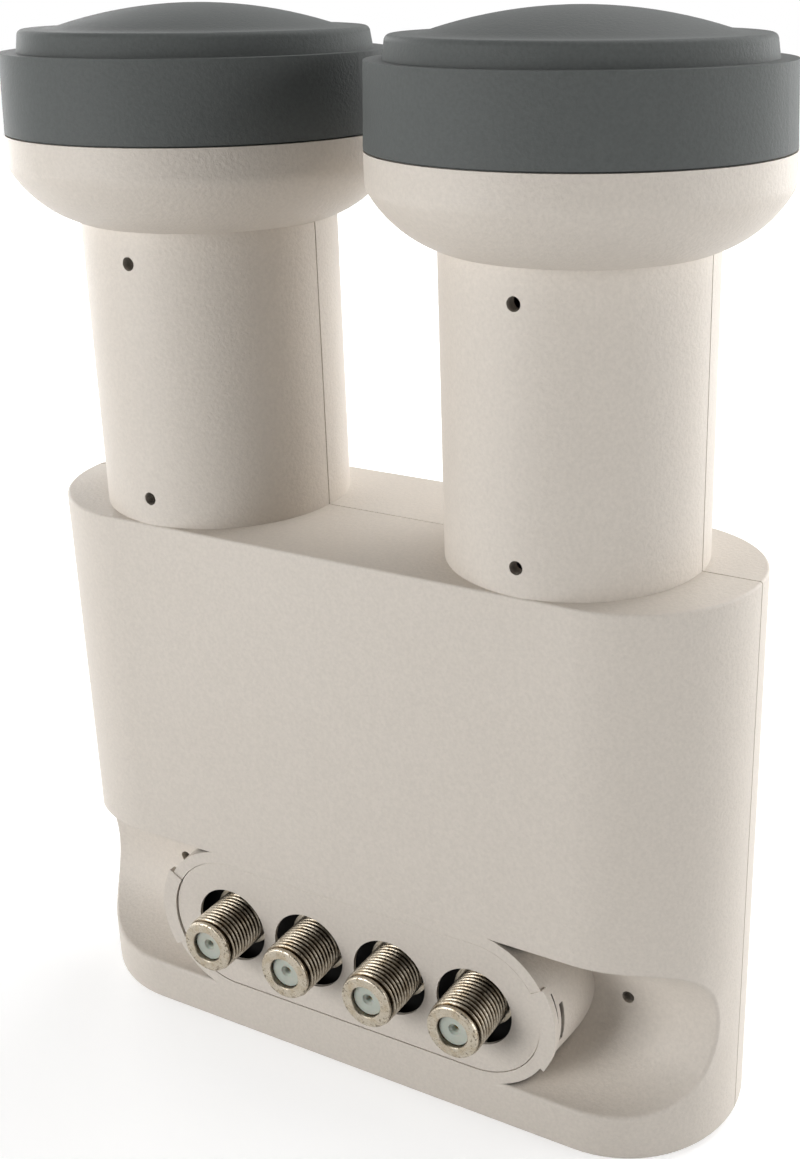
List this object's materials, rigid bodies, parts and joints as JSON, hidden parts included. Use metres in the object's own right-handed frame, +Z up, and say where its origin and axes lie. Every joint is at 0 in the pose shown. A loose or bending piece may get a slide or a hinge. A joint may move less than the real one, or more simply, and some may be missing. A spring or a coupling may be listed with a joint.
{
  "type": "satellite lnb",
  "caption": "Two-feed satellite dish LNB: flat round-ended housing, two clamp necks with flared collars and domed caps, and a row of threaded outputs in an oval boss.",
  "frame": {"origin": "centre of the flat base, midway between the feeds, on the plane where the front and rear shells meet", "axes": "+Z up along the necks towards the caps, -Y towards the side with the outputs, +X from the left feed to the right feed as seen from that side"},
  "size_m": [0.1244, 0.0594, 0.1717],
  "materials": {
    "housing_plastic": "moulded, warm off-white with a fine spark texture",
    "cap_plastic": "moulded, mid grey, matte",
    "nickel_plate": "satin nickel plate over a turned body",
    "cast_metal": "as die-cast",
    "screw_steel": "zinc plated",
    "board_laminate": "green solder mask over glass-fibre laminate",
    "contact_metal": "gold plated",
    "insulator_plastic": "translucent pale natural plastic",
    "seal_rubber": "black, smooth"
  },
  "bodies": {
    "root": {"front_shell": "housing_plastic", "rear_shell": "housing_plastic", "connector_plate": "housing_plastic", "sealing_pad": "seal_rubber", "chassis": "cast_metal", "circuit_board": "board_laminate", "shield_cover": "cast_metal", "cover_screws": "screw_steel", "horn_screws": "screw_steel", "f_connector_1": "nickel_plate", "connector_insulator_1": "insulator_plastic", "connector_contact_1": "contact_metal", "f_connector_2": "nickel_plate", "connector_insulator_2": "insulator_plastic", "connector_contact_2": "contact_metal", "f_connector_3": "nickel_plate", "connector_insulator_3": "insulator_plastic", "connector_contact_3": "contact_metal", "f_connector_4": "nickel_plate", "connector_insulator_4": "insulator_plastic", "connector_contact_4": "contact_metal", "feed_horn_left": "cast_metal", "feed_collar_left": "housing_plastic", "feed_cap_left": "cap_plastic", "cap_seal_left": "seal_rubber", "probe_left": "contact_metal", "probe_bush_left": "insulator_plastic", "feed_horn_right": "cast_metal", "feed_collar_right": "housing_plastic", "feed_cap_right": "cap_plastic", "cap_seal_right": "seal_rubber", "probe_right": "contact_metal", "probe_bush_right": "insulator_plastic"}
  },
  "joints": []
}
